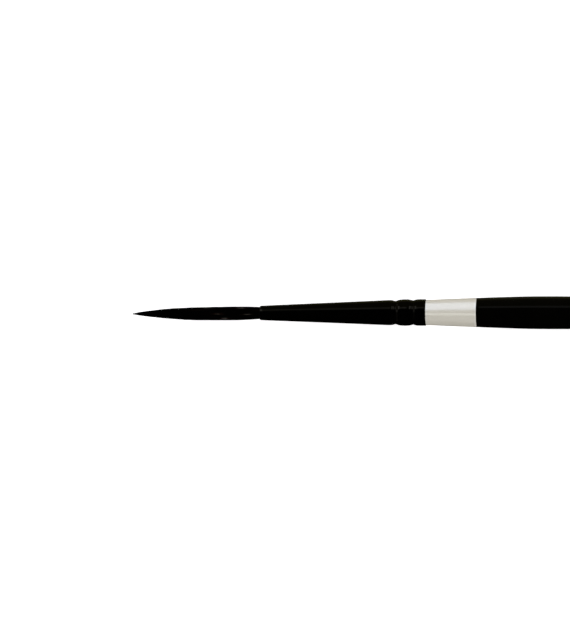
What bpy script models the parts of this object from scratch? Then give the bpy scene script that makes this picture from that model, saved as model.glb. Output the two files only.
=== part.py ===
"""Fine detail brush: a long-haired round liner with a tapered, crimped metal ferrule and a turned, lacquered handle.

The brush lies along X with the hair tip at -X and the tail of the handle at +X, its belly on the plane Z = 0.
Every piece is turned about the brush's axis. In the code a place along the brush is its distance from the hair tip,
in metres, and that distance is the local Z of the empty that carries the pieces.

Pieces, from the tip to the tail:
  hair_tip, hair_belly, hair_heel   the free tuft, in three lengths that hinge on one another as the hair bends
  hair_root                         the tuft's root in the ferrule, with just its end showing at the mouth
  binding_thread                    thread wound round the butt of the tuft
  root_glue                         hard plug of adhesive round and behind the hair butts
  ferrule                           seamless tapered tube with a rounded mouth and two crimp grooves
  tenon_glue                        film of adhesive between tenon and ferrule
  handle_core                       turned hardwood blank with the tenon on its front end
  silver_band                       ring of silver lacquer next to the ferrule
  handle_lacquer                    black gloss lacquer over the rest of the blank, tail included
"""

import math

import bpy

MM = 0.001

# ---- driving dimensions -------------------------------------------------------------------------------------------
TOTAL_LENGTH = 195.0 * MM
FACETS = 16  # round the axis, with one facet flat along the bottom

# Tuft: distance from the tip and diameter
HAIR_OUT = 23.97 * MM
TUFT_STATIONS = (
    (0.0 * MM, 0.22 * MM),
    (1.2 * MM, 0.68 * MM),
    (2.8 * MM, 1.05 * MM),
    (5.6 * MM, 1.60 * MM),
    (8.7 * MM, 2.05 * MM),
    (12.5 * MM, 2.35 * MM),
    (17.8 * MM, 2.43 * MM),
    (21.0 * MM, 2.37 * MM),
    (HAIR_OUT, 2.14 * MM),
)
HEEL_HINGE = 22.85 * MM
BELLY_HINGE = 15.6 * MM
TIP_HINGE = 8.2 * MM
HINGE_GAP = 0.05 * MM
BEND_DEG = 30.0  # each hinge, to either side
ROOT_END = 34.0 * MM
ROOT_DIAMETER = 2.34 * MM

# Ferrule
FERRULE_MOUTH = HAIR_OUT
FERRULE_REAR = 55.42 * MM
FERRULE_MOUTH_DIAMETER = 2.58 * MM
FERRULE_TAPER = 0.083  # diameter gained for each unit of length
FERRULE_REAR_DIAMETER = 4.866 * MM
FERRULE_WALL = 0.20 * MM
FERRULE_EDGE = 0.09 * MM
CRIMPS = (49.63 * MM, 52.90 * MM)
CRIMP_WIDTH = 1.9 * MM
CRIMP_DEPTH = 0.20 * MM

# Binding and adhesive in the ferrule
THREAD_START = 30.6 * MM
THREAD_TURNS = 5
THREAD_PITCH = 0.26 * MM
PLUG_START = 32.2 * MM
PLUG_REAR = 36.6 * MM
TENON_FRONT = 41.0 * MM
FILM_FRONT = 42.0 * MM
FILM_REAR = 55.20 * MM
FILM = 0.07 * MM
FILM_GAP = 0.03 * MM

# Handle: distance from the tip and diameter over the lacquer
BAND_REAR = 64.98 * MM
HANDLE_STATIONS = (
    (55.42 * MM, 4.60 * MM),
    (BAND_REAR, 5.40 * MM),
    (69.5 * MM, 5.73 * MM),
    (74.0 * MM, 6.01 * MM),
    (79.4 * MM, 6.08 * MM),
    (90.0 * MM, 5.82 * MM),
    (120.0 * MM, 4.92 * MM),
    (150.0 * MM, 4.02 * MM),
    (175.0 * MM, 3.34 * MM),
    (192.6 * MM, 2.96 * MM),
)
BELLY_DIAMETER = 6.08 * MM
DOME_START = 192.6 * MM
BUTT_FLAT_DIAMETER = 1.2 * MM
LACQUER = 0.10 * MM
LACQUER_GAP = 0.02 * MM
JOIN_GAP = 0.02 * MM  # end to end, between one coating and the next

# Every radius is drawn this much larger at its corners, so that the faceted section has the area of the real circle.
CORNER = math.sqrt((2 * math.pi / FACETS) / math.sin(2 * math.pi / FACETS))
AXIS_HEIGHT = BELLY_DIAMETER / 2 * CORNER * math.cos(math.pi / FACETS)
MERGE = 1e-6

# ---- materials: colour, metallic, roughness -----------------------------------------------------------------------
FINISHES = {
    "hair": ((0.0065, 0.0050, 0.0042), 0.0, 0.42),
    "hair_inner": ((0.010, 0.007, 0.005), 0.0, 0.60),
    "thread": ((0.55, 0.50, 0.40), 0.0, 0.85),
    "root_glue": ((0.30, 0.17, 0.06), 0.0, 0.25),
    "ferrule": ((0.012, 0.0115, 0.010), 0.9, 0.22),
    "tenon_glue": ((0.62, 0.50, 0.30), 0.0, 0.45),
    "wood": ((0.56, 0.38, 0.21), 0.0, 0.65),
    "silver": ((0.60, 0.58, 0.54), 0.85, 0.36),
    "black": ((0.005, 0.0045, 0.004), 0.0, 0.12),
}


# ---- curves through stations --------------------------------------------------------------------------------------
def smooth(stations):
    """A monotone cubic through (place, diameter) stations, so that the outline has no ripple between them."""
    n = len(stations)
    gap = [stations[i + 1][0] - stations[i][0] for i in range(n - 1)]
    rise = [(stations[i + 1][1] - stations[i][1]) / gap[i] for i in range(n - 1)]
    slope = [rise[0]] + [0.0] * (n - 2) + [rise[-1]]
    for i in range(1, n - 1):
        if rise[i - 1] * rise[i] > 0:
            a = 2 * gap[i] + gap[i - 1]
            b = gap[i] + 2 * gap[i - 1]
            slope[i] = (a + b) / (a / rise[i - 1] + b / rise[i])

    def at(place):
        i = 0
        while i < n - 2 and place > stations[i + 1][0]:
            i += 1
        t = (place - stations[i][0]) / gap[i]
        t = min(max(t, 0.0), 1.0)
        return (
            (2 * t**3 - 3 * t**2 + 1) * stations[i][1]
            + (t**3 - 2 * t**2 + t) * gap[i] * slope[i]
            + (3 * t**2 - 2 * t**3) * stations[i + 1][1]
            + (t**3 - t**2) * gap[i] * slope[i + 1]
        )

    return at


tuft_diameter = smooth(TUFT_STATIONS)
handle_diameter = smooth(HANDLE_STATIONS)


def places(start, end, count):
    """count + 1 evenly spaced places from start to end."""
    return [start + (end - start) * i / count for i in range(count + 1)]


def tuft_radius(place):
    return tuft_diameter(place) / 2


def crimp(place):
    """How far the crimps press the ferrule's wall in."""
    depth = 0.0
    for centre in CRIMPS:
        off = abs(place - centre) / CRIMP_WIDTH
        if off < 0.5:
            depth = max(depth, CRIMP_DEPTH * math.cos(math.pi * off) ** 2)
    return depth


def ferrule_radius(place):
    cone = FERRULE_MOUTH_DIAMETER + FERRULE_TAPER * (place - FERRULE_MOUTH)
    return min(cone, FERRULE_REAR_DIAMETER) / 2 - crimp(place)


def crimp_places(shares):
    return [c + CRIMP_WIDTH * s for c in CRIMPS for s in shares]


OUTER_SHARES = (-0.5, -0.27, -0.12, 0.0, 0.12, 0.27, 0.5)
INNER_SHARES = (-0.5, -0.22, 0.0, 0.22, 0.5)


def handle_radius(place, inset=0.0):
    return handle_diameter(place) / 2 - inset


def dome(inset):
    """The rounded tail, from the flat at its end to where the taper begins, as (radius, place)."""
    flat = BUTT_FLAT_DIAMETER / 2 - inset
    wide = handle_radius(DOME_START, inset)
    deep = TOTAL_LENGTH - inset - DOME_START
    points = []
    for i in range(6):
        a = math.radians(90 - 15 * i)
        points.append((flat + (wide - flat) * math.cos(a), DOME_START + deep * math.sin(a)))
    points.append((wide, DOME_START))
    return points


HANDLE_PLACES = (
    BAND_REAR + JOIN_GAP,
    67.2 * MM,
    69.5 * MM,
    71.8 * MM,
    74.0 * MM,
    76.7 * MM,
    79.4 * MM,
    82.5 * MM,
    86.0 * MM,
    90.0 * MM,
    105.0 * MM,
    120.0 * MM,
    135.0 * MM,
    150.0 * MM,
    163.0 * MM,
    175.0 * MM,
)

# ---- scene --------------------------------------------------------------------------------------------------------
for old in list(bpy.data.objects):
    bpy.data.objects.remove(old, do_unlink=True)

parts = bpy.data.collections.new("fine_detail_brush")
bpy.context.scene.collection.children.link(parts)

axis = bpy.data.objects.new("brush_axis", None)
axis.empty_display_type = "ARROWS"
axis.empty_display_size = 0.01
axis.rotation_mode = "ZYX"
axis.rotation_euler = (0.0, math.pi / 2, math.pi / FACETS)
axis.location = (-TOTAL_LENGTH / 2, 0.0, AXIS_HEIGHT)
parts.objects.link(axis)


def finish(name, look):
    """The piece's own material, with the colour and gloss of its finish."""
    material = bpy.data.materials.new(name)
    material.use_nodes = True
    colour, metallic, roughness = FINISHES[look]
    shader = material.node_tree.nodes["Principled BSDF"]
    shader.inputs["Base Color"].default_value = (*colour, 1.0)
    shader.inputs["Metallic"].default_value = metallic
    shader.inputs["Roughness"].default_value = roughness
    material.diffuse_color = (*colour, 1.0)
    return material


def turned(name, profile, look, loop=False, origin=0.0, parent=None):
    """A turned piece. profile is (radius, place) points that run down the outer side, from the tail end towards the tip.

    A solid piece's profile begins and ends on the axis. A ring's profile is a loop that comes back up the inner side.
    origin is the place of the piece's own origin, which is its hinge on a piece that moves.
    """
    points = [(r * CORNER, 0.0, place - origin) for r, place in profile]
    edges = [(i, i + 1) for i in range(len(points) - 1)]
    if loop:
        edges.append((len(points) - 1, 0))
    mesh = bpy.data.meshes.new(name)
    mesh.from_pydata(points, edges, [])
    mesh.materials.append(finish(name, look))
    piece = bpy.data.objects.new(name, mesh)
    parts.objects.link(piece)
    piece.parent = parent or axis
    above = parent["place"] if parent else 0.0
    piece.location = (0.0, 0.0, origin - above)
    piece["place"] = origin
    screw = piece.modifiers.new("turn", "SCREW")
    screw.axis = "Z"
    screw.angle = 2 * math.pi
    screw.steps = FACETS
    screw.render_steps = FACETS
    screw.screw_offset = 0.0
    screw.use_merge_vertices = True
    screw.merge_threshold = MERGE
    screw.use_smooth_shade = True
    return piece


def shade(piece):
    """Apply the turning and shade it smooth, with its edges kept."""
    graph = bpy.context.evaluated_depsgraph_get()
    mesh = bpy.data.meshes.new_from_object(piece.evaluated_get(graph), depsgraph=graph)
    mesh.name = piece.name
    mesh.shade_smooth()
    mesh.set_sharp_from_angle(angle=math.radians(35))
    piece.modifiers.clear()
    old, piece.data = piece.data, mesh
    bpy.data.meshes.remove(old)


# ---- tuft ---------------------------------------------------------------------------------------------------------
CUP_RIM = math.sin(math.radians(BEND_DEG)) + 0.05  # how far forward a cup may reach, in ball radii


def ball(hinge):
    """The rounded back of a length of hair, centred on its hinge, from the axis to the full radius."""
    r = tuft_radius(hinge)
    return [
        (r * math.sin(a), hinge + r * math.cos(a))
        for a in (math.radians(18 * i) for i in range(5))
    ]


def cup(hinge):
    """The hollow end that takes the next length's ball, from its rim to the axis, clear of it at every angle."""
    r = tuft_radius(hinge) + HINGE_GAP
    reach = CUP_RIM * tuft_radius(hinge)
    widest = math.acos(reach / r)
    return [
        (r * math.sin(widest * (1 - i / 4)), hinge + r * math.cos(widest * (1 - i / 4)))
        for i in range(5)
    ]


def cup_rim(hinge):
    return hinge + CUP_RIM * tuft_radius(hinge)


def hair_length(name, hinge, next_hinge, count, parent):
    """One free length of the tuft: its ball, its side, and the cup for the next length."""
    profile = ball(hinge)
    rim = cup_rim(next_hinge)
    profile += [(tuft_radius(p), p) for p in places(hinge, rim, count)]
    profile += cup(next_hinge)
    profile[0] = (0.0, profile[0][1])
    profile[-1] = (0.0, profile[-1][1])
    return turned(name, profile, "hair", origin=hinge, parent=parent)


heel = hair_length("hair_heel", HEEL_HINGE, BELLY_HINGE, 4, None)
belly = hair_length("hair_belly", BELLY_HINGE, TIP_HINGE, 4, heel)

tip_profile = ball(TIP_HINGE)
tip_profile += [(tuft_radius(p), p) for p in places(TIP_HINGE, 0.0, 6)]
tip_profile.append((0.0, 0.0))
tip_profile[0] = (0.0, tip_profile[0][1])
turned("hair_tip", tip_profile, "hair", origin=TIP_HINGE, parent=belly)

# The root fills the ferrule's mouth and widens a little to its tied butt.
root_side = smooth(
    (
        (cup_rim(HEEL_HINGE), 2 * tuft_radius(cup_rim(HEEL_HINGE))),
        (24.3 * MM, 2.12 * MM),
        (28.0 * MM, 2.20 * MM),
        (ROOT_END, ROOT_DIAMETER),
    )
)
root_profile = [(0.0, ROOT_END)]
root_profile += [
    (root_side(p) / 2, p)
    for p in (ROOT_END, 31.0 * MM, 28.0 * MM, 26.0 * MM, 24.3 * MM, cup_rim(HEEL_HINGE))
]
root_profile += cup(HEEL_HINGE)
root_profile[-1] = (0.0, root_profile[-1][1])
turned("hair_root", root_profile, "hair_inner")

# ---- thread round the butt ----------------------------------------------------------------------------------------
thread_inner = root_side(THREAD_START + THREAD_TURNS * THREAD_PITCH) / 2 + 0.02 * MM
thread_profile = []
for turn in range(THREAD_TURNS):
    top = THREAD_START + (THREAD_TURNS - turn) * THREAD_PITCH
    thread_profile.append((thread_inner + 0.12 * MM, top))
    thread_profile.append((thread_inner + 0.19 * MM, top - THREAD_PITCH / 2))
thread_profile.append((thread_inner + 0.12 * MM, THREAD_START))
thread_profile.append((thread_inner, THREAD_START))
thread_profile.append((thread_inner, THREAD_START + THREAD_TURNS * THREAD_PITCH))
turned("binding_thread", thread_profile, "thread", loop=True)


# ---- glue plug ----------------------------------------------------------------------------------------------------
def bore_radius(place):
    """The ferrule's inside."""
    return ferrule_radius(place) - FERRULE_WALL


plug_hole = ROOT_DIAMETER / 2 + 0.02 * MM
plug_profile = [
    (0.0, PLUG_REAR - 0.25 * MM),
    (bore_radius(PLUG_REAR) * 0.6, PLUG_REAR - 0.16 * MM),
    (bore_radius(PLUG_REAR) - 0.03 * MM, PLUG_REAR),
    (bore_radius(PLUG_START) - 0.03 * MM, PLUG_START),
    (plug_hole, PLUG_START),
    (plug_hole, ROOT_END + 0.03 * MM),
    (0.0, ROOT_END + 0.03 * MM),
]
turned("root_glue", plug_profile, "root_glue")

# ---- ferrule ------------------------------------------------------------------------------------------------------
mouth_radius = ferrule_radius(FERRULE_MOUTH)
rear_radius = ferrule_radius(FERRULE_REAR)
outer = [
    (rear_radius - FERRULE_EDGE, FERRULE_REAR),
    (rear_radius - 0.3 * FERRULE_EDGE, FERRULE_REAR - 0.3 * FERRULE_EDGE),
    (rear_radius, FERRULE_REAR - FERRULE_EDGE),
]
cone_end = FERRULE_MOUTH + (FERRULE_REAR_DIAMETER - FERRULE_MOUTH_DIAMETER) / FERRULE_TAPER
sides = sorted({*crimp_places(OUTER_SHARES), cone_end, 40.0 * MM, 31.0 * MM}, reverse=True)
outer += [(ferrule_radius(p), p) for p in sides]
outer += [
    (ferrule_radius(FERRULE_MOUTH + FERRULE_EDGE), FERRULE_MOUTH + FERRULE_EDGE),
    (mouth_radius - 0.3 * FERRULE_EDGE, FERRULE_MOUTH + 0.3 * FERRULE_EDGE),
    (mouth_radius - FERRULE_EDGE, FERRULE_MOUTH),
]
inner_places = [FERRULE_MOUTH + 0.07 * MM, 31.0 * MM, 40.0 * MM]
inner_places += sorted(crimp_places(INNER_SHARES))
inner_places += [FERRULE_REAR]
inner = [(mouth_radius - FERRULE_WALL + 0.05 * MM, FERRULE_MOUTH)]
inner += [(bore_radius(p), p) for p in inner_places]
turned("ferrule", outer + inner, "ferrule", loop=True)


# ---- tenon, film of adhesive and handle blank ---------------------------------------------------------------------
def film_outer(place):
    return bore_radius(place) - FILM_GAP


def film_inner(place):
    return film_outer(place) - FILM


def tenon_radius(place):
    return film_inner(place) - FILM_GAP


film_places = [FILM_FRONT, *sorted(crimp_places(INNER_SHARES)), FILM_REAR]
film = [(film_outer(p), p) for p in reversed(film_places)]
film += [(film_inner(p), p) for p in film_places]
turned("tenon_glue", film, "tenon_glue", loop=True)

core_inset = LACQUER + LACQUER_GAP
core = [(0.0, TOTAL_LENGTH - core_inset)]
core += dome(core_inset)
core += [(handle_radius(p, core_inset), p) for p in reversed(HANDLE_PLACES)]
shoulder = FERRULE_REAR + JOIN_GAP
core += [(handle_radius(shoulder, core_inset), shoulder)]
core += [(tenon_radius(shoulder), shoulder)]
core += [(tenon_radius(p), p) for p in sorted(crimp_places(INNER_SHARES), reverse=True)]
core += [
    (tenon_radius(FILM_FRONT), FILM_FRONT),
    (tenon_radius(TENON_FRONT + 0.25 * MM), TENON_FRONT + 0.25 * MM),
    (tenon_radius(TENON_FRONT) - 0.25 * MM, TENON_FRONT),
    (0.0, TENON_FRONT),
]
turned("handle_core", core, "wood")

# ---- lacquers -----------------------------------------------------------------------------------------------------
band_places = [shoulder, BAND_REAR]
band = [(handle_radius(p), p) for p in reversed(band_places)]
band += [(handle_radius(p, LACQUER), p) for p in band_places]
turned("silver_band", band, "silver", loop=True)

lacquer = [(0.0, TOTAL_LENGTH)]
lacquer += dome(0.0)
lacquer += [(handle_radius(p), p) for p in reversed(HANDLE_PLACES)]
lacquer += [(handle_radius(p, LACQUER), p) for p in HANDLE_PLACES]
lacquer += list(reversed(dome(LACQUER)))
lacquer += [(0.0, TOTAL_LENGTH - LACQUER)]
turned("handle_lacquer", lacquer, "black")

bpy.context.view_layer.update()
for piece in [o for o in parts.objects if o.type == "MESH"]:
    shade(piece)
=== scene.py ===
import math

import bmesh
import bpy
import numpy as np
from mathutils import Matrix, Vector


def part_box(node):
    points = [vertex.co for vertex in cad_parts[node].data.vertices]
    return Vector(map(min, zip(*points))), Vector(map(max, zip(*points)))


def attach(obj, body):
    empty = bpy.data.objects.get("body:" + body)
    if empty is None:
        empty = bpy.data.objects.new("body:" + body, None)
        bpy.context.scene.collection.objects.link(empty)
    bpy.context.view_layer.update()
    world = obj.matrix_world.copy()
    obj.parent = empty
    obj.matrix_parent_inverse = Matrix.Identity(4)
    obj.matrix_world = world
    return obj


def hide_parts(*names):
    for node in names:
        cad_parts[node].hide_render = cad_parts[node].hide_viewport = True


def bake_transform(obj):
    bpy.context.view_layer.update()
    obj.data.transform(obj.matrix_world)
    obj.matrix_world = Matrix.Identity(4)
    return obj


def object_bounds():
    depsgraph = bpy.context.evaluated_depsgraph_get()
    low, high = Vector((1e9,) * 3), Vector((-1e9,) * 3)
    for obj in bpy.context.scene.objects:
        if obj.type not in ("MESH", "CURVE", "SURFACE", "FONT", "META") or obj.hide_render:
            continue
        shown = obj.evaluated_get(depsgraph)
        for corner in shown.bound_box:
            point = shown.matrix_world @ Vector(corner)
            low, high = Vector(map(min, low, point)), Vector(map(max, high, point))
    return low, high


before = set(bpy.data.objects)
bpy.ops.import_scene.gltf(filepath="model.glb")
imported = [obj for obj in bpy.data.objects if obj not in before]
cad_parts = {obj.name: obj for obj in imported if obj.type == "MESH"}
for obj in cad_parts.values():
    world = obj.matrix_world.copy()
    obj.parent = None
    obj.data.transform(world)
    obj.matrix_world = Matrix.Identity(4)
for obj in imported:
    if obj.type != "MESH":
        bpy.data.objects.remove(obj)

CAD_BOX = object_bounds()
TIP_X = CAD_BOX[0].x
TAIL_MM = (CAD_BOX[1].x - CAD_BOX[0].x) * 1000
LOW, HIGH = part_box("ferrule")
AXIS_Z = (LOW.z + HIGH.z) / 2
MOUTH_MM = (LOW.x - TIP_X) * 1000
FERRULE_REAR_MM = (HIGH.x - TIP_X) * 1000
BAND_REAR_MM = (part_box("silver_band")[1].x - TIP_X) * 1000

pieces = bpy.data.collections.new("looks")
bpy.context.scene.collection.children.link(pieces)


# ---- curves through stations ----------------------------------------------------------------------------------------
def smooth(stations):
    """A monotone cubic through (place, value) stations, as a function of an array of places."""
    x = np.array([p for p, _ in stations], float)
    y = np.array([v for _, v in stations], float)
    gap = np.diff(x)
    rise = np.diff(y) / gap
    slope = np.zeros(len(x))
    slope[0], slope[-1] = rise[0], rise[-1]
    for i in range(1, len(x) - 1):
        if rise[i - 1] * rise[i] > 0:
            a, b = 2 * gap[i] + gap[i - 1], gap[i] + 2 * gap[i - 1]
            slope[i] = (a + b) / (a / rise[i - 1] + b / rise[i])

    def at(place):
        p = np.clip(np.asarray(place, float), x[0], x[-1])
        i = np.clip(np.searchsorted(x, p, side="right") - 1, 0, len(x) - 2)
        t = (p - x[i]) / gap[i]
        return (
            (2 * t**3 - 3 * t**2 + 1) * y[i]
            + (t**3 - 2 * t**2 + t) * gap[i] * slope[i]
            + (3 * t**2 - 2 * t**3) * y[i + 1]
            + (t**3 - t**2) * gap[i] * slope[i + 1]
        )

    return at


# The ferrule sits a tenth of a millimetre out of true on the handle. This is how far the axis strays to +Y, in mm.
stray = smooth(
    ((24.0, 0.0), (31.6, 0.028), (39.2, 0.046), (47.0, 0.060), (51.0, 0.080), (55.4, 0.096), (65.5, 0.088))
    + ((71.0, 0.072), (77.0, 0.054), (82.5, 0.044), (130.0, 0.010), (195.0, 0.0))
)

# ---- mesh helpers ---------------------------------------------------------------------------------------------------
def make_object(name, verts, faces, material, sharp=38.0):
    mesh = bpy.data.meshes.new(name)
    mesh.from_pydata(verts, [], faces)
    bm = bmesh.new()
    bm.from_mesh(mesh)
    bmesh.ops.recalc_face_normals(bm, faces=bm.faces)
    bm.to_mesh(mesh)
    bm.free()
    mesh.materials.append(material)
    mesh.shade_smooth()
    if sharp:
        mesh.set_sharp_from_angle(angle=math.radians(sharp))
    obj = bpy.data.objects.new(name, mesh)
    pieces.objects.link(obj)
    return obj


def turned(name, profile, material, loop=False, sides=128, sharp=38.0):
    """A turned piece from (place, radius) points in mm. A solid's profile begins and ends on the axis; a ring's is a loop."""
    ring_angles = np.arange(sides) * 2 * math.pi / sides
    cos, sin = np.cos(ring_angles), np.sin(ring_angles)
    verts, rings = [], []
    for place, radius in profile:
        x, off = TIP_X + place * 0.001, float(stray(place)) * 0.001
        if radius <= 1e-9:
            rings.append([len(verts)])
            verts.append((x, off, AXIS_Z))
        else:
            first = len(verts)
            rings.append(list(range(first, first + sides)))
            r = radius * 0.001
            verts.extend((x, off + r * s, AXIS_Z + r * c) for c, s in zip(cos, sin, strict=True))
    faces = []
    pairs = list(zip(rings[:-1], rings[1:], strict=True))
    if loop:
        pairs.append((rings[-1], rings[0]))
    for a, b in pairs:
        for i in range(sides):
            j = (i + 1) % sides
            if len(a) == 1 and len(b) == 1:
                continue
            if len(a) == 1:
                faces.append((a[0], b[i], b[j]))
            elif len(b) == 1:
                faces.append((a[i], b[0], a[j]))
            else:
                faces.append((a[i], b[i], b[j], a[j]))
    return make_object(name, verts, faces, material, sharp)


def span(start, end, step):
    """Places from start to end, no more than step apart."""
    n = max(1, int(math.ceil(abs(end - start) / step)))
    return [start + (end - start) * i / n for i in range(n + 1)]


# ---- node helpers ---------------------------------------------------------------------------------------------------
class Look:
    """A procedural material: a Principled shader and the nodes that feed it."""

    def __init__(self, name, **sockets):
        self.material = bpy.data.materials.new(name)
        self.material.use_nodes = True
        self.tree = self.material.node_tree
        self.shader = self.tree.nodes["Principled BSDF"]
        for key, value in sockets.items():
            self.shader.inputs[key.replace("_", " ")].default_value = value
        self.where = self.tree.nodes.new("ShaderNodeTexCoord").outputs["Object"]

    def node(self, kind, **settings):
        made = self.tree.nodes.new(kind)
        for key, value in settings.items():
            setattr(made, key, value)
        return made

    def link(self, a, b):
        self.tree.links.new(a, b)

    def mapped(self, scale, location=(0, 0, 0)):
        m = self.node("ShaderNodeMapping")
        m.inputs["Scale"].default_value = scale
        m.inputs["Location"].default_value = location
        self.link(self.where, m.inputs["Vector"])
        return m.outputs["Vector"]

    def noise(self, scale, detail=3.0, rough=0.5, stretch=(1, 1, 1), shift=(0, 0, 0)):
        n = self.node("ShaderNodeTexNoise")
        n.inputs["Scale"].default_value = 1.0
        n.inputs["Detail"].default_value = detail
        n.inputs["Roughness"].default_value = rough
        self.link(self.mapped(tuple(scale * k for k in stretch), shift), n.inputs["Vector"])
        return n.outputs["Fac"]

    def cells(self, scale, feature="F1", stretch=(1, 1, 1)):
        v = self.node("ShaderNodeTexVoronoi", feature=feature)
        v.inputs["Scale"].default_value = 1.0
        self.link(self.mapped(tuple(scale * k for k in stretch)), v.inputs["Vector"])
        return v

    def ramp(self, source, stops):
        r = self.node("ShaderNodeValToRGB")
        r.color_ramp.elements[0].position, r.color_ramp.elements[1].position = (
            stops[0][0],
            stops[-1][0],
        )
        for position, _ in stops[1:-1]:
            r.color_ramp.elements.new(position)
        for element, (_, colour) in zip(r.color_ramp.elements, stops, strict=True):
            element.color = (*colour, 1.0)
        self.link(source, r.inputs["Fac"])
        return r.outputs["Color"]

    def span(self, source, low, high, start=0.3, end=0.7):
        m = self.node("ShaderNodeMapRange")
        m.inputs["From Min"].default_value = start
        m.inputs["From Max"].default_value = end
        m.inputs["To Min"].default_value = low
        m.inputs["To Max"].default_value = high
        self.link(source, m.inputs["Value"])
        return m.outputs["Result"]

    def maths(self, operation, a, b):
        m = self.node("ShaderNodeMath", operation=operation)
        for socket, value in zip(m.inputs, (a, b), strict=False):
            if isinstance(value, (int, float)):
                socket.default_value = value
            else:
                self.link(value, socket)
        return m.outputs["Value"]

    def blend(self, factor, a, b, mode="MIX"):
        m = self.node("ShaderNodeMix", data_type="RGBA", blend_type=mode)
        for name, value in (("Factor", factor), ("A", a), ("B", b)):
            socket = [
                s
                for s in m.inputs
                if s.name == name and s.enabled and (name == "Factor" or s.type == "RGBA")
            ][0]
            if isinstance(value, (int, float)):
                socket.default_value = value
            elif isinstance(value, tuple):
                socket.default_value = (*value, 1.0)
            else:
                self.link(value, socket)
        return [s for s in m.outputs if s.type == "RGBA" and s.enabled][0]

    def bump(self, height, distance, strength=1.0, under=None):
        b = self.node("ShaderNodeBump")
        b.inputs["Strength"].default_value = strength
        b.inputs["Distance"].default_value = distance
        self.link(height, b.inputs["Height"])
        if under is not None:
            self.link(under, b.inputs["Normal"])
        return b.outputs["Normal"]

    def set(self, socket, source):
        self.link(source, self.shader.inputs[socket])


# ---- materials ------------------------------------------------------------------------------------------------------
def black_lacquer():
    look = Look("black_lacquer", IOR=1.5)
    cloud = look.noise(140, 4, 0.55)
    look.set("Base Color", look.ramp(cloud, [(0.3, (0.00035, 0.00030, 0.00020)), (0.7, (0.00080, 0.00070, 0.00045))]))
    # hairline rubs run mostly along the handle; a faint flow left by dipping lies round it
    rubs = look.noise(1, 2, 0.6, stretch=(90, 5200, 5200))
    flow = look.noise(420, 2, 0.5, stretch=(1, 0.6, 0.6))
    rough = look.maths("ADD", look.span(rubs, 0.0, 0.05, 0.55, 0.75), look.span(flow, 0.06, 0.10))
    look.set("Roughness", rough)
    peel = look.bump(flow, 0.000004, 0.5)
    look.set("Normal", look.bump(rubs, 0.0000012, 0.35, peel))
    return look.material


def silver_lacquer():
    look = Look("silver_lacquer", Metallic=0.30, IOR=1.5, Coat_Weight=0.8, Coat_Roughness=0.14)
    flake = look.cells(16000)
    tone = look.noise(520, 3, 0.6, stretch=(0.35, 1, 1))
    fine = look.ramp(
        flake.outputs["Color"],
        [(0.0, (0.870, 0.822, 0.716)), (0.5, (0.905, 0.857, 0.748)), (1.0, (0.940, 0.893, 0.782))],
    )
    broad = look.ramp(tone, [(0.3, (0.96, 0.96, 0.955)), (0.7, (1.0, 1.0, 1.0))])
    body = look.blend(1.0, fine, broad, "MULTIPLY")
    # the lacquer is painted paler near each end: a painted highlight, a bright rim along each edge of the band
    place = look.node("ShaderNodeSeparateXYZ")
    look.link(look.where, place.inputs[0])
    ends = []
    for mm, way in ((FERRULE_REAR_MM, 1), (BAND_REAR_MM, -1)):
        edge = TIP_X + mm * 0.001
        ends.append(look.span(place.outputs["X"], 1.0, 0.0, edge + way * 0.00012, edge + way * 0.00042))
    pale = look.maths("MAXIMUM", *ends)
    look.set("Base Color", look.blend(look.maths("MULTIPLY", pale, 0.6), body, (0.95, 0.92, 0.86)))
    look.set("Roughness", look.span(tone, 0.305, 0.33))
    brush = look.noise(1, 2, 0.5, stretch=(700, 9000, 9000))
    first = look.bump(flake.outputs["Distance"], 0.000003, 0.15)
    look.set("Normal", look.bump(brush, 0.0000015, 0.5, first))
    return look.material


def ferrule_metal():
    look = Look("black_plated_metal", Metallic=1.0, IOR=1.5)
    drawn = look.noise(1, 3, 0.6, stretch=(260, 7000, 7000))
    rings = look.noise(1, 2, 0.55, stretch=(16000, 260, 260))
    cloud = look.noise(260, 4, 0.6)
    plating = look.ramp(cloud, [(0.3, (0.056, 0.054, 0.048)), (0.7, (0.074, 0.071, 0.063))])
    # handling has thinned the plating on the crests beside the crimps and at the mouth; the wide pale rim at the mouth
    # is partly a painted highlight along the lip
    place = look.node("ShaderNodeSeparateXYZ")
    look.link(look.where, place.inputs[0])
    along = look.span(place.outputs["X"], 0.0, 1.0, TIP_X + MOUTH_MM * 0.001, TIP_X + FERRULE_REAR_MM * 0.001)
    length = FERRULE_REAR_MM - MOUTH_MM

    def share(mm):
        return (mm - MOUTH_MM) / length

    dark, worn_and_highlight = (0.0, 0.0, 0.0), (1.0, 1.0, 1.0)
    # the first stops paint the lip paler: worn plating and a painted highlight
    stops = [(0.0, worn_and_highlight), (share(MOUTH_MM + 0.35), (0.7, 0.7, 0.7)), (share(MOUTH_MM + 1.6), dark)]
    for crest in (48.75, 51.35, 53.85, 55.25):
        stops += [
            (share(crest - 0.35), dark),
            (share(min(crest, FERRULE_REAR_MM - 0.01)), worn_and_highlight),
        ]
        if crest + 0.35 < FERRULE_REAR_MM:
            stops.append((share(crest + 0.35), dark))
    crests = look.ramp(along, sorted(stops))
    patchy = look.span(look.noise(1500, 4, 0.65), 0.0, 1.0, 0.48, 0.72)
    wear_and_lip_highlight = look.maths("MULTIPLY", crests, patchy)
    look.set("Base Color", look.blend(look.maths("MULTIPLY", wear_and_lip_highlight, 0.5), plating, (0.19, 0.180, 0.155)))
    base = look.maths("ADD", look.span(drawn, 0.0, 0.04, 0.55, 0.75), look.span(rings, 0.065, 0.095))
    look.set("Roughness", look.maths("ADD", base, look.maths("MULTIPLY", wear_and_lip_highlight, 0.10)))
    first = look.bump(rings, 0.0000022, 0.5)
    look.set("Normal", look.bump(drawn, 0.0000015, 0.4, first))
    return look.material


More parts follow.
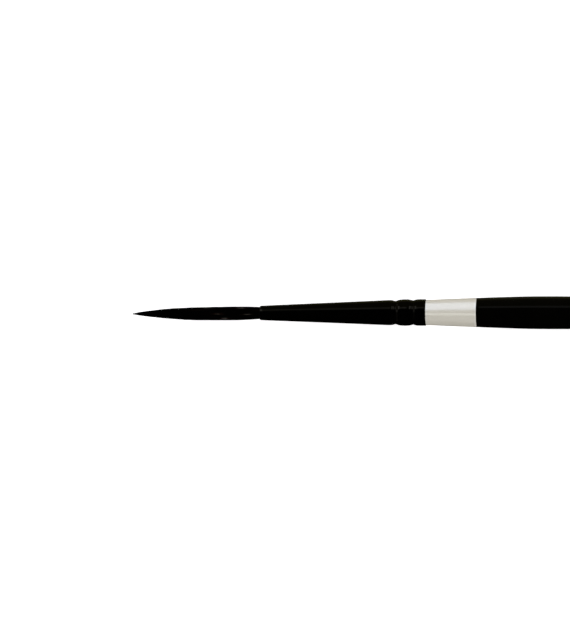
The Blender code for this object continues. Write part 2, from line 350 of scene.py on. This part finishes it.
def filaments(name):
    """Dark filaments. Each has its own tone, kept in the mesh as 0, black, through brown, to 1, a pale grey for painted
    highlights.
    """
    look = Look(name, IOR=1.48, Specular_IOR_Level=0.13)
    tone = look.node("ShaderNodeAttribute", attribute_name="tone")
    grain = look.noise(1, 3, 0.6, stretch=(500, 16000, 16000))
    colour = look.ramp(
        tone.outputs["Fac"],
        [
            (0.0, (0.00022, 0.00019, 0.00018)),
            (0.25, (0.00045, 0.00030, 0.00024)),
            (0.55, (0.0100, 0.0017, 0.0003)),
            (0.75, (0.0150, 0.0085, 0.0055)),
            (1.0, (0.0900, 0.0800, 0.0690)),
        ],
    )
    look.set("Base Color", look.blend(look.span(grain, 0.0, 0.45), colour, (0.00015, 0.00012, 0.0001)))
    look.set("Roughness", look.span(grain, 0.34, 0.5))
    look.set("Normal", look.bump(grain, 0.000004, 0.4))
    return look.material


def wood():
    look = Look("turned_hardwood", IOR=1.45)
    grain = look.noise(1, 6, 0.62, stretch=(55, 1500, 1500))
    pores = look.noise(1, 3, 0.7, stretch=(600, 9000, 9000))
    colour = look.ramp(grain, [(0.25, (0.36, 0.215, 0.11)), (0.5, (0.52, 0.345, 0.19)), (0.75, (0.66, 0.47, 0.29))])
    look.set("Base Color", look.blend(look.span(pores, 0.0, 0.5, 0.6, 0.75), colour, (0.24, 0.13, 0.06)))
    look.set("Roughness", look.span(grain, 0.55, 0.75))
    look.set("Normal", look.bump(pores, 0.00002, 0.5))
    return look.material


def waxed_thread():
    look = Look("waxed_thread", IOR=1.45, Sheen_Weight=0.25)
    ply = look.noise(1, 3, 0.6, stretch=(9000, 2600, 2600))
    look.set("Base Color", look.ramp(ply, [(0.3, (0.40, 0.34, 0.24)), (0.7, (0.68, 0.61, 0.48))]))
    look.set("Roughness", look.span(ply, 0.6, 0.85))
    look.set("Normal", look.bump(ply, 0.00002, 0.7))
    return look.material


def resin(name, low, high, rough):
    look = Look(name, IOR=1.54)
    cloud = look.noise(900, 4, 0.6)
    look.set("Base Color", look.ramp(cloud, [(0.3, low), (0.7, high)]))
    look.set("Roughness", look.span(cloud, rough * 0.7, rough * 1.3))
    look.set("Normal", look.bump(cloud, 0.00002, 0.4))
    return look.material


LACQUER = black_lacquer()
SILVER = silver_lacquer()
METAL = ferrule_metal()
HAIR = filaments("dark_filaments")
ROOT_HAIR = filaments("root_filaments")
WOOD = wood()
THREAD = waxed_thread()
ROOT_GLUE = resin("amber_resin", (0.20, 0.095, 0.025), (0.36, 0.20, 0.07), 0.22)
TENON_GLUE = resin("tan_adhesive", (0.50, 0.39, 0.22), (0.66, 0.55, 0.36), 0.45)

# ---- handle ---------------------------------------------------------------------------------------------------------
handle_diameter = smooth(
    (
        (55.42, 4.72),
        (60.0, 5.12),
        (64.98, 5.50),
        (66.3, 5.60),
        (69.0, 5.785),
        (71.2, 5.93),
        (74.4, 6.11),
        (77.5, 6.175),
        (80.0, 6.19),
        (83.0, 6.15),
        (92.0, 5.92),
        (120.0, 5.00),
        (150.0, 4.08),
        (175.0, 3.38),
        (192.6, 3.00),
    )
)
DOME_START, FLAT = 192.6, 0.6


def handle_radius(place, inset=0.0):
    return float(handle_diameter(place)) / 2 - inset


def dome(inset, steps=24):
    """The rounded tail, from the small flat at its end forward to the taper."""
    wide, deep = handle_radius(DOME_START, inset), TAIL_MM - inset - DOME_START
    flat = FLAT - inset
    points = []
    for i in range(steps + 1):
        a = math.pi / 2 * (1 - i / steps)
        points.append((DOME_START + deep * math.sin(a), flat + (wide - flat) * math.cos(a)))
    return points


def ring_edge(place, radius, size, forward):
    """A rounded edge: (place, radius) points that turn from the end face to the side."""
    points = []
    for i in range(5):
        a = math.pi / 2 * i / 4
        points.append((place + forward * size * (1 - math.sin(a)), radius - size * (1 - math.cos(math.pi / 2 - a))))
    return points


coat, gap = 0.10, 0.02
front = BAND_REAR_MM + gap
body_places = [p for p in span(front + 0.06, DOME_START, 1.6)]
outer = [(TAIL_MM, 0.0), *dome(0.0)[:-1]]
outer += [(p, handle_radius(p)) for p in reversed(body_places)]
outer += [(front + 0.02, handle_radius(front) - 0.008), (front, handle_radius(front) - 0.03)]
inner = [(front, handle_radius(front, coat))]
inner += [(p, handle_radius(p, coat)) for p in span(front + 2.0, DOME_START, 6.0)]
inner += [(p, r) for p, r in reversed(dome(coat, 10)[:-1])]
inner += [(TAIL_MM - coat, 0.0)]
lacquer = turned("black_lacquer_coat", outer + inner, LACQUER, sides=144, sharp=50)

shoulder = FERRULE_REAR_MM + 0.02
band_places = span(shoulder, BAND_REAR_MM, 0.4)
band = [(p, handle_radius(p)) for p in reversed(band_places)]
band += [(p, handle_radius(p, coat)) for p in span(shoulder, BAND_REAR_MM, 3.0)]
silver = turned("silver_lacquer_ring", band, SILVER, loop=True, sides=144, sharp=50)

# ---- ferrule --------------------------------------------------------------------------------------------------------
WALL = 0.20
# A cone, then two rolled crimps in the short straight end that grips the handle.
ferrule_radius = smooth(
    ((23.7, 1.352), (24.7, 1.394), (31.6, 1.678), (39.2, 1.989), (46.8, 2.306), (47.9, 2.354), (48.45, 2.373))
    + ((48.70, 2.370), (48.90, 2.357), (49.07, 2.330), (49.25, 2.288), (49.42, 2.240), (49.60, 2.212), (49.78, 2.220))
    + ((49.98, 2.276), (50.18, 2.364), (50.38, 2.416), (50.60, 2.448), (50.96, 2.474), (51.50, 2.498), (51.88, 2.493))
    + ((52.10, 2.472), (52.30, 2.444), (52.50, 2.408), (52.68, 2.364), (52.84, 2.314), (52.98, 2.292), (53.12, 2.308))
    + ((53.28, 2.370), (53.46, 2.428), (53.66, 2.462), (54.0, 2.490), (54.5, 2.504), (55.5, 2.502))
)


fine = span(48.0, FERRULE_REAR_MM - 0.14, 0.055)
straight = span(MOUTH_MM + 0.1, 47.9, 0.8)
outside = []
edge, rear = 0.12, FERRULE_REAR_MM
for i in range(8):
    a = math.pi / 2 * i / 7
    outside.append((rear - edge * (1 - math.cos(a)), ferrule_radius(rear - edge) - edge * (1 - math.sin(a))))
outside += [(p, ferrule_radius(p)) for p in reversed(fine)]
outside += [(p, ferrule_radius(p)) for p in reversed(straight)]
lip = 0.05
for i in range(1, 8):
    a = math.pi / 2 * (1 - i / 7)
    outside.append((MOUTH_MM + 0.04 + lip * (1 - math.cos(a)), ferrule_radius(MOUTH_MM) - lip * (1 - math.sin(a))))
bore = ferrule_radius(MOUTH_MM) - WALL
inside = []
for i in range(8):
    a = math.pi / 2 * i / 7
    inside.append((MOUTH_MM + 0.04 + 0.08 * (1 - math.cos(a)), bore + 0.08 * (1 - math.sin(a))))
inside += [(p, ferrule_radius(p) - WALL) for p in span(MOUTH_MM + 0.6, 47.9, 2.5)]
inside += [(p, ferrule_radius(p) - WALL) for p in span(48.0, rear, 0.11)]
ferrule = turned("ferrule_tube", outside + inside, METAL, loop=True, sides=144, sharp=50)


# ---- what the ferrule holds -----------------------------------------------------------------------------------------
def tenon_radius(place):
    """As the ferrule's bore, less the film of adhesive and its clearances."""
    return ferrule_radius(place) - WALL - 0.145


inset = coat + gap
core = [(TAIL_MM - inset, 0.0), *dome(inset, 12)[:-1]]
core += [(p, handle_radius(p, inset)) for p in reversed(span(shoulder, DOME_START, 2.0))]
core += [(p, tenon_radius(p)) for p in reversed(span(48.0, shoulder, 0.11))]
core += [(p, tenon_radius(p)) for p in reversed(span(41.3, 47.9, 2.0))]
core += [(41.15, tenon_radius(41.2) - 0.03), (41.0, tenon_radius(41.0) - 0.22), (41.0, 0.0)]
blank = turned("turned_handle_blank", core, WOOD, sides=96, sharp=50)

turns, per_turn, pitch = 5, 48, 0.245
low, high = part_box("binding_thread")
start = (low.x - TIP_X) * 1000 + 0.14
verts, faces = [], []
count = turns * per_turn + 1
for i in range(count):
    a = 2 * math.pi * i / per_turn
    place, r = start + pitch * i / per_turn, 1.272
    for k in range(8):
        b = 2 * math.pi * k / 8
        rr = (r + 0.083 * math.cos(b)) * 0.001
        off = float(stray(place)) * 0.001
        verts.append((TIP_X + (place + 0.118 * math.sin(b)) * 0.001, off + rr * math.sin(a), AXIS_Z + rr * math.cos(a)))
for i in range(count - 1):
    for k in range(8):
        m = (k + 1) % 8
        faces.append((i * 8 + k, i * 8 + m, (i + 1) * 8 + m, (i + 1) * 8 + k))
faces.append(tuple(range(8)))
faces.append(tuple(range((count - 1) * 8, count * 8)))
thread = make_object("wound_thread", verts, faces, THREAD, 60)

# ---- tuft -----------------------------------------------------------------------------------------------------------
tuft_radius = smooth(
    (
        (-0.40, 0.08),
        (0.0, 0.155),
        (0.25, 0.200),
        (0.5, 0.232),
        (1.08, 0.330),
        (1.84, 0.452),
        (2.6, 0.550),
        (3.36, 0.642),
        (4.88, 0.788),
        (6.4, 0.937),
        (7.92, 1.042),
        (9.44, 1.150),
        (10.96, 1.207),
        (12.5, 1.236),
        (14.0, 1.272),
        (15.5, 1.290),
        (17.8, 1.304),
        (20.1, 1.292),
        (21.6, 1.254),
        (22.9, 1.203),
        (23.8, 1.160),
        (25.0, 1.150),
        (31.0, 1.150),
    )
)
WIDEST = 1.304
CUTS = (19.2, 11.9)  # where one length of the tuft hands over to the next
ROOT_MM = 26.6
SIDES = 5
FILAMENTS = 1300
random = np.random.default_rng(41)


sag = smooth(
    ((0.0, -0.175), (1.1, -0.154), (3.4, -0.137), (6.4, -0.124), (9.4, -0.135), (12.5, -0.148), (14.0, -0.136))
    + ((15.5, -0.117), (17.8, -0.094), (20.1, -0.070), (21.6, -0.038), (22.9, -0.015), (24.0, 0.0), (31.0, 0.004))
)


def droop(place):
    """The tuft lies a little to one side of the ferrule's axis."""
    return sag(place)


class Bundle:
    """Vertices, faces and tones of one length of the tuft."""

    def __init__(self):
        self.verts, self.faces, self.tones, self.count = [], [], [], 0

    def tube(self, places, y, z, radii, tone):
        n = len(places)
        if n < 2:
            return
        sides = len(radii[0]) if np.ndim(radii) == 2 else SIDES
        a = np.arange(sides) * 2 * math.pi / sides
        rad = np.asarray(radii) if np.ndim(radii) == 2 else np.asarray(radii)[:, None]
        yy = y[:, None] + rad * np.sin(a)[None, :]
        zz = z[:, None] + rad * np.cos(a)[None, :]
        xx = np.repeat(places[:, None], sides, axis=1)
        points = np.stack([TIP_X + xx * 0.001, yy * 0.001, AXIS_Z + zz * 0.001], axis=-1).reshape(-1, 3)
        first = self.count
        i, k = np.meshgrid(np.arange(n - 1), np.arange(sides), indexing="ij")
        m = (k + 1) % sides
        quads = np.stack(
            [first + i * sides + k, first + i * sides + m, first + (i + 1) * sides + m, first + (i + 1) * sides + k],
            axis=-1,
        ).reshape(-1, 4)
        self.verts.append(points)
        self.faces.extend(map(tuple, quads.tolist()))
        self.faces.append(tuple(first + k for k in range(sides - 1, -1, -1)))
        self.faces.append(tuple(first + (n - 1) * sides + k for k in range(sides)))
        self.tones.append(np.repeat(np.broadcast_to(tone, (n,)), sides))
        self.count += len(points)


# Painted highlights, patches of filaments painted pale where they catch the light: degrees round from the top towards
# +Y, spread, middle and reach along the tuft, strength.
PAINTED_HIGHLIGHTS = (
    (58.0, 13.0, 20.5, 1.2, 0.95),
    (-13.0, 4.5, 21.6, 0.9, 1.3),
    (-4.0, 7.0, 16.0, 1.1, 0.75),
    (-49.0, 8.0, 17.4, 0.8, 1.2),
    (61.0, 9.0, 14.2, 1.2, 0.75),
)
bundles = [Bundle(), Bundle(), Bundle()]  # heel, belly, tip
LIMITS = ((ROOT_MM, CUTS[0]), (CUTS[0], CUTS[1]), (CUTS[1], -1.0))


def lay(places, y, z, radii, tone):
    """Shares one filament, laid from root to tip, among the lengths that it passes through."""
    for bundle, (high_end, low_end) in zip(bundles, LIMITS, strict=True):
        inside_it = (places <= high_end + 1e-9) & (places >= low_end - 1e-9)
        if inside_it.sum() >= 2:
            bundle.tube(places[inside_it], y[inside_it], z[inside_it], radii[inside_it], tone[inside_it])


def filled(place):
    """The share of the bundle's filaments, counted from its middle, that reach this far."""
    return np.clip((tuft_radius(place) / WIDEST), 0.03, 1.0) ** 0.62


grid = np.array(
    [ROOT_MM, 25.2, 24.1, 23.7, 23.3, 22.85, 22.4, 22.0, 21.5, 20.8, 20.0, CUTS[0]]
    + [18.4, 17.6, 16.9, 16.2, 15.6, 15.0, 14.3, 13.6, 12.8, CUTS[1]]
    + [11.1, 10.3, 9.5, 8.7, 7.9, 7.1, 6.3, 5.6, 4.9, 4.2, 3.5, 2.9, 2.3, 1.8, 1.3, 0.9, 0.5, 0.25, 0.05, -0.1, -0.25]
)
full = filled(grid)
full[grid > 17.8] = 1.0
WAVES = [(n, random.uniform(0, 6.28), random.uniform(-0.45, 0.45), random.uniform(0.6, 1.0)) for n in (5, 8, 13, 21, 31, 44, 58)]


def locks(turn, places):
    """Filaments cling in locks: 0 in a dark one, 1 in a brown one."""
    total = sum(gain * np.sin(n * turn + phase + drift * (24.0 - places)) for n, phase, drift, gain in WAVES)
    return np.clip(0.05 + 0.42 * total, 0.0, 1.0)


for number in range(FILAMENTS):
    rho = math.sqrt((number + 0.5) / FILAMENTS)
    angle = number * 2.399963 + random.normal(0, 0.06)
    kept = np.nonzero(full >= rho)[0]
    last = grid[kept[-1]] if len(kept) else 17.0
    end = last + random.normal(0, 0.55) - random.exponential(0.5)
    if number < 64:  # the longest ones make the point
        end = random.uniform(-0.35, 0.0)
    end = float(np.clip(end, random.uniform(0.0, 0.9) if number >= 64 else -0.45, 17.2))
    buried = np.nonzero(rho / full < 0.70)[0]
    begin = grid[buried[-1]] if len(buried) else ROOT_MM
    if begin <= end + 0.6:
        begin = end + 2.5
    places = np.concatenate([grid[(grid < begin + 1e-6) & (grid > end + 0.12)], [end]])
    if len(places) < 3:
        continue
    tip = np.clip((places - end) / 5.5, 0.0, 1.0)
    thick = 0.0300 * random.normal(1.0, 0.09)
    least = 0.75 if number < 64 else 0.16
    radii = thick * (least + (1.0 - least) * tip**0.62)
    share = np.minimum(rho / np.maximum(filled(places) * (places <= 17.8) + 1.0 * (places > 17.8), 1e-3), 1.0)
    # waves start at the mouth and grow towards the point
    free = np.clip((24.0 - places) / 14.0, 0, 1)
    sway = 0.013 * np.sin(places * random.uniform(0.35, 0.9) + random.uniform(0, 6.28)) * free
    lean = 0.022 * np.sin(places * random.uniform(0.25, 0.6) + random.uniform(0, 6.28)) * free
    out = (tuft_radius(places) - radii * 0.9) * share + sway * np.minimum(share * 1.2, 1.0)
    if random.random() < 0.02 and rho > 0.6:  # a filament that has sprung a little free
        out = out + 0.07 * np.clip((end + 7.0 - places) / 7.0, 0, 1) ** 1.6
    turn = angle + 0.10 * (24.0 - places) / 24.0 + lean / np.maximum(out, 0.15)
    y = out * np.sin(turn) + droop(places)
    z = out * np.cos(turn)
    # black towards the point, browner towards the ferrule, with a few pale stretches, painted highlights where a
    # filament turns to the light
    warm = np.clip((places - 5.0) / 9.0, 0.0, 1.0)
    tone = 0.08 * random.random() * np.ones(len(places))
    side = math.degrees(math.atan2(math.sin(angle), math.cos(angle)))
    # the brown is painted stronger on the upper and lower sides of the tuft: a painted rim light on the edge filaments
    if random.random() < 0.75:
        above, below = np.exp(-(((side - 42.0) / 34.0) ** 2)), np.exp(-(((side + 66.0) / 24.0) ** 2))
        tone = tone + warm * random.uniform(0.35, 0.75) * locks(turn, places) * (0.12 + 1.0 * above + 0.45 * below)
    if rho > 0.72 and random.random() < 0.05:
        middle, reach = random.uniform(12.0, 23.5), random.uniform(0.8, 2.2)
        tone = tone + random.uniform(0.3, 0.7) * np.exp(-(((places - middle) / reach) ** 2))
    for towards, spread, middle, reach, gain in PAINTED_HIGHLIGHTS:
        if rho > 0.80 and abs(side - towards) < spread and random.random() < 0.8:
            tone = tone + gain * np.exp(-(((places - middle) / reach) ** 2))
    tone = np.clip(tone, 0.0, 1.0) * (1.0 if rho > 0.6 else 0.4)
    lay(places, y, z, radii, tone)

# The middle of the bundle, which the outer filaments hide.
for bundle, (high_end, low_end) in zip(bundles, LIMITS, strict=True):
    places = np.array(span(high_end, max(low_end, 1.4), 0.45))
    sides = 40
    a = np.arange(sides) * 2 * math.pi / sides
    base = tuft_radius(places) * 0.885 - 0.02
    ripple = 0.022 * np.sin(a * 17)[None, :] + 0.014 * np.sin(a * 31 + 1.3)[None, :]
    radii = base[:, None] + ripple * np.clip(base / 0.9, 0, 1)[:, None]
    bundle.tube(places, droop(places), np.zeros(len(places)), radii, 0.05)


def tuft_piece(name, bundle):
    mesh = bpy.data.meshes.new(name)
    mesh.from_pydata(np.concatenate(bundle.verts).tolist(), [], bundle.faces)
    tone = mesh.attributes.new("tone", "FLOAT", "POINT")
    tone.data.foreach_set("value", np.concatenate(bundle.tones).astype(np.float32))
    bm = bmesh.new()
    bm.from_mesh(mesh)
    bmesh.ops.recalc_face_normals(bm, faces=bm.faces)
    bm.to_mesh(mesh)
    bm.free()
    mesh.materials.append(HAIR)
    mesh.shade_smooth()
    mesh.set_sharp_from_angle(angle=math.radians(80))
    obj = bpy.data.objects.new(name, mesh)
    pieces.objects.link(obj)
    return obj


heel = tuft_piece("filaments_heel", bundles[0])
belly = tuft_piece("filaments_belly", bundles[1])
tip = tuft_piece("filaments_tip", bundles[2])

# ---- riding ---------------------------------------------------------------------------------------------------------
for piece, node, slot in (
    (lacquer, "handle_lacquer", "black_lacquer"),
    (silver, "silver_band", "silver_lacquer"),
    (ferrule, "ferrule", "ferrule"),
    (blank, "handle_core", "wood"),
    (thread, "binding_thread", "thread"),
):
    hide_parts(node)
    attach(piece, "handle")


def at(place):
    return (TIP_X + place * 0.001, 0.0, AXIS_Z)


for piece, node, a, b, start, end in (
    (heel, "hair_heel", "handle", "tuft_heel", 24.0, 21.6),
    (belly, "hair_belly", "tuft_heel", "tuft_belly", 17.8, 13.4),
    (tip, "hair_tip", "tuft_belly", "tuft_tip", 10.3, 6.1),
):
    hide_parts(node)
    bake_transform(piece)

for node, material in (("hair_root", ROOT_HAIR), ("root_glue", ROOT_GLUE), ("tenon_glue", TENON_GLUE)):
    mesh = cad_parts[node].data
    mesh.materials.clear()
    mesh.materials.append(material)

# ---- floor ----------------------------------------------------------------------------------------------------------
floor_look = Look("pale_floor", Roughness=0.7)
floor_look.set("Base Color", floor_look.ramp(floor_look.noise(3.0, 2, 0.5), [(0.3, (0.86, 0.86, 0.86)), (0.7, (0.90, 0.90, 0.90))]))
floor_look.shader.inputs["Emission Color"].default_value = (1.0, 1.0, 1.0, 1.0)
floor_look.shader.inputs["Emission Strength"].default_value = 0.72
mesh = bpy.data.meshes.new("floor")
size = 14.0
mesh.from_pydata([(-size, -size, 0), (size, -size, 0), (size, size, 0), (-size, size, 0)], [], [(0, 1, 2, 3)])
mesh.materials.append(floor_look.material)
floor = bpy.data.objects.new("floor", mesh)
floor.location = (0, 0, -0.00008)
floor.visible_glossy = False
bpy.context.scene.collection.objects.link(floor)

# ---- light ----------------------------------------------------------------------------------------------------------
centre = Vector((TIP_X + 0.05, 0.0, AXIS_Z))


def lamp(name, direction, distance, size_x, size_y, radiance, glossy=True, diffuse=True, colour=(1, 1, 1)):
    """A soft rectangular lamp that faces the brush, long side along the brush. radiance is what it shows in a mirror."""
    light = bpy.data.lights.new(name, "AREA")
    light.shape = "RECTANGLE"
    light.size, light.size_y = size_x, size_y
    light.color = colour
    light.energy = radiance * math.pi * size_x * size_y
    obj = bpy.data.objects.new(name, light)
    back = Vector(direction).normalized()
    x = Vector((1, 0, 0))
    x = (x - back * x.dot(back)).normalized()
    y = back.cross(x)
    obj.matrix_world = Matrix.Translation(centre + back * distance) @ Matrix((x, y, back)).transposed().to_4x4()
    obj.visible_camera = False
    obj.visible_glossy = glossy
    obj.visible_diffuse = diffuse
    bpy.context.scene.collection.objects.link(obj)
    return obj


def slant(degrees, along=0.0):
    """A direction so many degrees off straight up, towards +Y."""
    a = math.radians(degrees)
    return (along, math.sin(a), math.cos(a))


lamp("key", slant(35), 1.2, 1.6, 1.2, 1.25, glossy=False)
lamp("fill", slant(-40), 1.3, 1.6, 1.2, 0.65, glossy=False)


def lit(name, *objects):
    """Pieces that share some lamps of their own."""
    group = bpy.data.collections.new(name)
    for obj in objects:
        group.objects.link(obj)
    bpy.context.scene.collection.children.link(group)
    return group


band_only, metal_only, lacquer_only = lit("band_lit", silver), lit("ferrule_lit", ferrule), lit("handle_lit", lacquer)
lamp("strip", slant(42.5, -0.105), 0.9, 0.30, 0.22, 0.10, diffuse=False)
# small soft boxes to either side, which the flanks of the crimps mirror
for name, along, long in (("strip_left", -0.45, 0.22), ("strip_right", 0.33, 0.13)):
    box = lamp(name, slant(48, along), 0.9, long, 0.46, 0.30, diffuse=False)
    box.light_linking.receiver_collection = metal_only
# soft boxes beyond either end, which show along the brush when it is seen from low down
for name, along, group, radiance in (
    ("end_left", -1.45, lacquer_only, 1.2),
    ("end_right", 1.45, lacquer_only, 1.2),
    ("end_left_metal", -1.45, metal_only, 0.12),
    ("end_right_metal", 1.45, metal_only, 0.12),
):
    box = lamp(name, slant(20, along), 1.1, 0.7, 0.35, radiance, diffuse=False)
    box.light_linking.receiver_collection = group

for name, degrees, width, radiance, colour in (
    ("band_soft", 56, 1.2, 1.08, (0.65, 0.76, 1.0)),
    ("band_soft_low", -15, 0.20, 1.0, (0.88, 0.95, 1.0)),
    ("band_fill", -62, 0.7, 0.19, (0.88, 0.95, 1.0)),
):
    box = lamp(name, slant(degrees), 0.9, 2.0, width, radiance, diffuse=False, colour=colour)
    box.light_linking.receiver_collection = band_only

world = bpy.data.worlds.new("studio")
bpy.context.scene.world = world
world.use_nodes = True
nodes, links = world.node_tree.nodes, world.node_tree.links
nodes.clear()
out = nodes.new("ShaderNodeOutputWorld")
path = nodes.new("ShaderNodeLightPath")


def background(colour, strength):
    b = nodes.new("ShaderNodeBackground")
    b.inputs["Color"].default_value = (*colour, 1.0)
    b.inputs["Strength"].default_value = strength
    return b


seen = background((1.0, 1.0, 1.0), 1.05)
soft = background((1.0, 0.995, 0.985), 0.42)
# What polished surfaces see: a dark room, a little lighter on the +Y side and lightest where the table top lies there.
mirror = background((1.0, 0.92, 0.45), 0.02)
mirror_ends = background((1.0, 0.97, 0.92), 0.0)
toward = nodes.new("ShaderNodeTexCoord")
split = nodes.new("ShaderNodeSeparateXYZ")
links.new(toward.outputs["Generated"], split.inputs[0])


def ranged(source, a, b, low, high):
    m = nodes.new("ShaderNodeMapRange")
    m.interpolation_type = "SMOOTHSTEP"
    for key, value in (("From Min", a), ("From Max", b), ("To Min", low), ("To Max", high)):
        m.inputs[key].default_value = value
    links.new(source, m.inputs["Value"])
    return m.outputs["Result"]


def combined(operation, a, b):
    m = nodes.new("ShaderNodeMath")
    m.operation = operation
    for socket, value in zip(m.inputs, (a, b), strict=False):
        if isinstance(value, (int, float)):
            socket.default_value = value
        else:
            links.new(value, socket)
    return m.outputs["Value"]


low_down = ranged(split.outputs["Z"], -0.25, -0.75, 0.024, 0.10)
not_above = ranged(split.outputs["Z"], 0.82, 0.58, 0.0, 1.0)
near_side = ranged(split.outputs["Y"], 0.25, 0.6, 0.0, 1.0)
level = combined("MULTIPLY", combined("MULTIPLY", low_down, not_above), near_side)
# Towards either end it is paler, and the pale table top shows below.
sideways = ranged(combined("ABSOLUTE", split.outputs["X"], 0.0), 0.56, 0.68, 0.0, 1.0)
ends = combined("MULTIPLY", sideways, ranged(split.outputs["Z"], 0.10, -0.10, 0.03, 0.35))
links.new(combined("ADD", level, 0.0006), mirror.inputs["Strength"])
links.new(ends, mirror_ends.inputs["Strength"])
room = nodes.new("ShaderNodeAddShader")
links.new(mirror.outputs[0], room.inputs[0])
links.new(mirror_ends.outputs[0], room.inputs[1])
mix_gloss = nodes.new("ShaderNodeMixShader")
links.new(path.outputs["Is Glossy Ray"], mix_gloss.inputs[0])
links.new(soft.outputs[0], mix_gloss.inputs[1])
links.new(room.outputs[0], mix_gloss.inputs[2])
mix_seen = nodes.new("ShaderNodeMixShader")
links.new(path.outputs["Is Camera Ray"], mix_seen.inputs[0])
links.new(mix_gloss.outputs[0], mix_seen.inputs[1])
links.new(seen.outputs[0], mix_seen.inputs[2])
links.new(mix_seen.outputs[0], out.inputs["Surface"])

# ---- camera ---------------------------------------------------------------------------------------------------------
# It looks straight down on the brush from a long way off, leaning a little towards the handle.
LENS, SENSOR, FRAME_HIGH, FRAME_WIDE = 400.0, 36.0, 630.0, 570.0
MM_PER_STEP = 0.19  # what one six-hundred-and-thirtieth of the frame's height covers
LEAN = math.radians(5.4)
data = bpy.data.cameras.new("camera")
data.type = "PERSP"
data.lens = LENS
data.sensor_width = SENSOR
data.clip_start, data.clip_end = 0.05, 60.0
camera = bpy.data.objects.new("camera", data)
bpy.context.scene.collection.objects.link(camera)
distance = MM_PER_STEP * 0.001 * FRAME_HIGH * LENS / SENSOR * 0.9945
aim = Vector((TIP_X + 0.02870, -0.00038, AXIS_Z))
back = Vector((math.sin(LEAN), 0.0, math.cos(LEAN)))
right = Vector((math.cos(LEAN), 0.0, -math.sin(LEAN)))
up = Vector((0.0, 1.0, 0.0))
camera.matrix_world = (
    Matrix.Translation(aim + back * distance) @ Matrix((right, up, back)).transposed().to_4x4()
)
bpy.context.scene.camera = camera

bpy.context.scene.view_settings.view_transform = "Standard"
bpy.context.scene.view_settings.look = "None"
bpy.context.scene.view_settings.exposure = 0.0
bpy.context.scene.view_settings.gamma = 1.0
